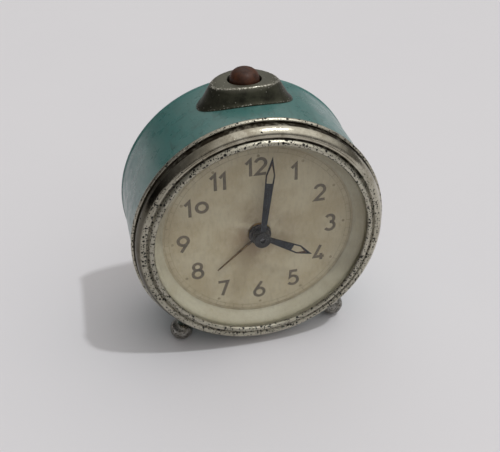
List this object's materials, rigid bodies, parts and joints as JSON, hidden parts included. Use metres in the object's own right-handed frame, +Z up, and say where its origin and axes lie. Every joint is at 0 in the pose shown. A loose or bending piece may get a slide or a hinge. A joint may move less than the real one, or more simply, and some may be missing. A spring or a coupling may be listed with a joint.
{
  "type": "wind-up alarm clock",
  "caption": "Round wind-up alarm clock with a painted steel drum, plated bezel, domed glass, stop button on top and two ball feet, leaning back on its rear rim.",
  "frame": {"origin": "middle of the footprint box, on the surface that the clock stands on", "axes": "+Z up, +X to the right of the dial, +Y to the back; the dial axis leans back by about 3 degrees"},
  "size_m": [0.084, 0.0498, 0.0927],
  "materials": {
    "teal_paint": "worn semi-gloss lacquer",
    "worn_nickel": "worn, pitted nickel plate",
    "dark_nickel": "tarnished plate with bright worn edges",
    "clear_glass": "clear, slightly dusty",
    "cream_enamel": "aged matt print",
    "brown_bakelite": "dull moulded",
    "blued_steel": "blued",
    "steel": "plain",
    "brass": "plain"
  },
  "bodies": {
    "case": {"case_drum": "teal_paint", "bezel": "worn_nickel", "foot_left": "worn_nickel", "foot_right": "worn_nickel", "back_cover": "worn_nickel", "button_housing": "dark_nickel", "glass": "clear_glass", "dial_ring": "cream_enamel", "dial": "cream_enamel", "cover_screw_1": "steel", "cover_screw_2": "steel", "cover_screw_3": "steel", "foot_nut_left": "steel", "foot_nut_right": "steel", "button_spring": "steel", "pillar_1": "steel", "pillar_2": "steel", "pillar_3": "steel", "pillar_4": "steel", "time_mainspring": "steel", "hairspring": "steel", "alarm_mainspring": "steel", "front_plate": "brass", "rear_plate": "brass"},
    "button": {"alarm_button": "brown_bakelite", "button_stem": "steel"},
    "stop_lever": {"stop_lever": "steel"},
    "minute": {"minute_hand": "blued_steel", "minute_arbor": "steel", "cannon_pinion": "steel", "hand_set_knob": "worn_nickel"},
    "minute_wheel": {"minute_wheel": "brass"},
    "hour": {"hour_wheel": "brass", "hour_hand": "blued_steel"},
    "alarm_setting": {"alarm_set_arbor": "steel", "alarm_set_knob": "worn_nickel"},
    "alarm_indicator": {"alarm_wheel": "brass", "alarm_hand": "brass"},
    "time_winding": {"time_winding_arbor": "steel", "time_key": "worn_nickel"},
    "time_great_wheel": {"time_great_wheel": "brass"},
    "time_click": {"time_click": "steel"},
    "centre_wheel": {"centre_wheel": "brass"},
    "third_wheel": {"third_wheel": "brass"},
    "escape_wheel": {"escape_wheel": "brass"},
    "pallet_lever": {"pallet_lever": "steel"},
    "balance": {"balance_wheel": "brass"},
    "regulator": {"regulator_lever": "steel"},
    "alarm_winding": {"alarm_winding_arbor": "steel", "alarm_key": "worn_nickel"},
    "alarm_great_wheel": {"alarm_great_wheel": "brass"},
    "alarm_click": {"alarm_click": "steel"},
    "alarm_escape_wheel": {"alarm_escape_wheel": "brass"},
    "hammer": {"hammer": "steel"}
  },
  "joints": [
    {"name": "button_press", "type": "slide", "parent": "case", "child": "button", "axis": [0, 0.0517, 0.9987], "range_m": [-0.0022, 0], "stiffness_N_per_m": 600, "springref_m": 0.002, "deforming": ["button_spring"]},
    {"name": "stop_lever_swing", "type": "hinge", "parent": "case", "child": "stop_lever", "pos_m": [0.014, -0.00566, 0.07425], "axis": [0, -0.9987, 0.0517], "range_deg": [0, 7.5]},
    {"name": "minute_turn", "type": "hinge", "parent": "case", "child": "minute", "pos_m": [0, -0.00729, 0.04279], "axis": [0, 0.9987, -0.0517], "continuous": true},
    {"name": "minute_wheel_turn", "type": "hinge", "parent": "case", "child": "minute_wheel", "pos_m": [0.006, -0.00675, 0.05317], "axis": [0, 0.9987, -0.0517], "continuous": true},
    {"name": "hour_turn", "type": "hinge", "parent": "case", "child": "hour", "pos_m": [0, -0.00729, 0.04279], "axis": [0, 0.9987, -0.0517], "continuous": true},
    {"name": "alarm_set_turn", "type": "hinge", "parent": "case", "child": "alarm_setting", "pos_m": [0, -0.00799, 0.02931], "axis": [0, 0.9987, -0.0517], "continuous": true},
    {"name": "alarm_indicator_turn", "type": "hinge", "parent": "case", "child": "alarm_indicator", "pos_m": [0, -0.00729, 0.04279], "axis": [0, 0.9987, -0.0517], "continuous": true},
    {"name": "time_winding_turn", "type": "hinge", "parent": "case", "child": "time_winding", "pos_m": [0.017, -0.0075, 0.0388], "axis": [0, 0.9987, -0.0517], "continuous": true},
    {"name": "time_great_wheel_turn", "type": "hinge", "parent": "case", "child": "time_great_wheel", "pos_m": [0.017, -0.0075, 0.0388], "axis": [0, 0.9987, -0.0517], "continuous": true},
    {"name": "time_click_lift", "type": "hinge", "parent": "time_great_wheel", "child": "time_click", "pos_m": [0.02182, -0.0052, 0.04443], "axis": [0, 0.9987, -0.0517], "range_deg": [0, 12], "stiffness_Nm_per_rad": 0.0001},
    {"name": "centre_wheel_turn", "type": "hinge", "parent": "case", "child": "centre_wheel", "pos_m": [0, -0.00729, 0.04279], "axis": [0, 0.9987, -0.0517], "continuous": true},
    {"name": "third_wheel_turn", "type": "hinge", "parent": "case", "child": "third_wheel", "pos_m": [0.00803, -0.00669, 0.05424], "axis": [0, 0.9987, -0.0517], "continuous": true},
    {"name": "escape_wheel_turn", "type": "hinge", "parent": "case", "child": "escape_wheel", "pos_m": [-0.00341, -0.00651, 0.05785], "axis": [0, 0.9987, -0.0517], "continuous": true},
    {"name": "pallet_rock", "type": "hinge", "parent": "case", "child": "pallet_lever", "pos_m": [-0.01326, -0.00642, 0.05958], "axis": [0, 0.9987, -0.0517], "range_deg": [-6, 6]},
    {"name": "balance_swing", "type": "hinge", "parent": "case", "child": "balance", "pos_m": [-0.0225, -0.00631, 0.06177], "axis": [0, 0.9987, -0.0517], "range_deg": [-220, 220], "stiffness_Nm_per_rad": 0.000008},
    {"name": "regulator_shift", "type": "hinge", "parent": "case", "child": "regulator", "pos_m": [-0.0225, -0.00631, 0.06177], "axis": [0, 0.9987, -0.0517], "range_deg": [-15, 15]},
    {"name": "alarm_winding_turn", "type": "hinge", "parent": "case", "child": "alarm_winding", "pos_m": [-0.017, -0.0075, 0.0388], "axis": [0, 0.9987, -0.0517], "continuous": true},
    {"name": "alarm_great_wheel_turn", "type": "hinge", "parent": "case", "child": "alarm_great_wheel", "pos_m": [-0.017, -0.0075, 0.0388], "axis": [0, 0.9987, -0.0517], "continuous": true},
    {"name": "alarm_click_lift", "type": "hinge", "parent": "alarm_great_wheel", "child": "alarm_click", "pos_m": [-0.02182, -0.0052, 0.04443], "axis": [0, -0.9987, 0.0517], "range_deg": [0, 12], "stiffness_Nm_per_rad": 0.0001},
    {"name": "alarm_escape_wheel_turn", "type": "hinge", "parent": "case", "child": "alarm_escape_wheel", "pos_m": [-0.02398, -0.00815, 0.02622], "axis": [0, 0.9987, -0.0517], "continuous": true},
    {"name": "hammer_swing", "type": "hinge", "parent": "case", "child": "hammer", "pos_m": [-0.01923, -0.00857, 0.018], "axis": [0, 0.9987, -0.0517], "range_deg": [-6, 6]}
  ],
  "couplings": [
    {"joint": "stop_lever_swing", "follows": "button_press", "rad_per_m": -58.8},
    {"joint": "minute_wheel_turn", "follows": "minute_turn", "ratio": -0.33333},
    {"joint": "hour_turn", "follows": "minute_turn", "ratio": 0.083333},
    {"joint": "alarm_indicator_turn", "follows": "alarm_set_turn", "ratio": -0.25},
    {"joint": "centre_wheel_turn", "follows": "time_great_wheel_turn", "ratio": -5},
    {"joint": "third_wheel_turn", "follows": "time_great_wheel_turn", "ratio": 25},
    {"joint": "escape_wheel_turn", "follows": "time_great_wheel_turn", "ratio": -100},
    {"joint": "alarm_escape_wheel_turn", "follows": "alarm_great_wheel_turn", "ratio": -4.5}
  ]
}
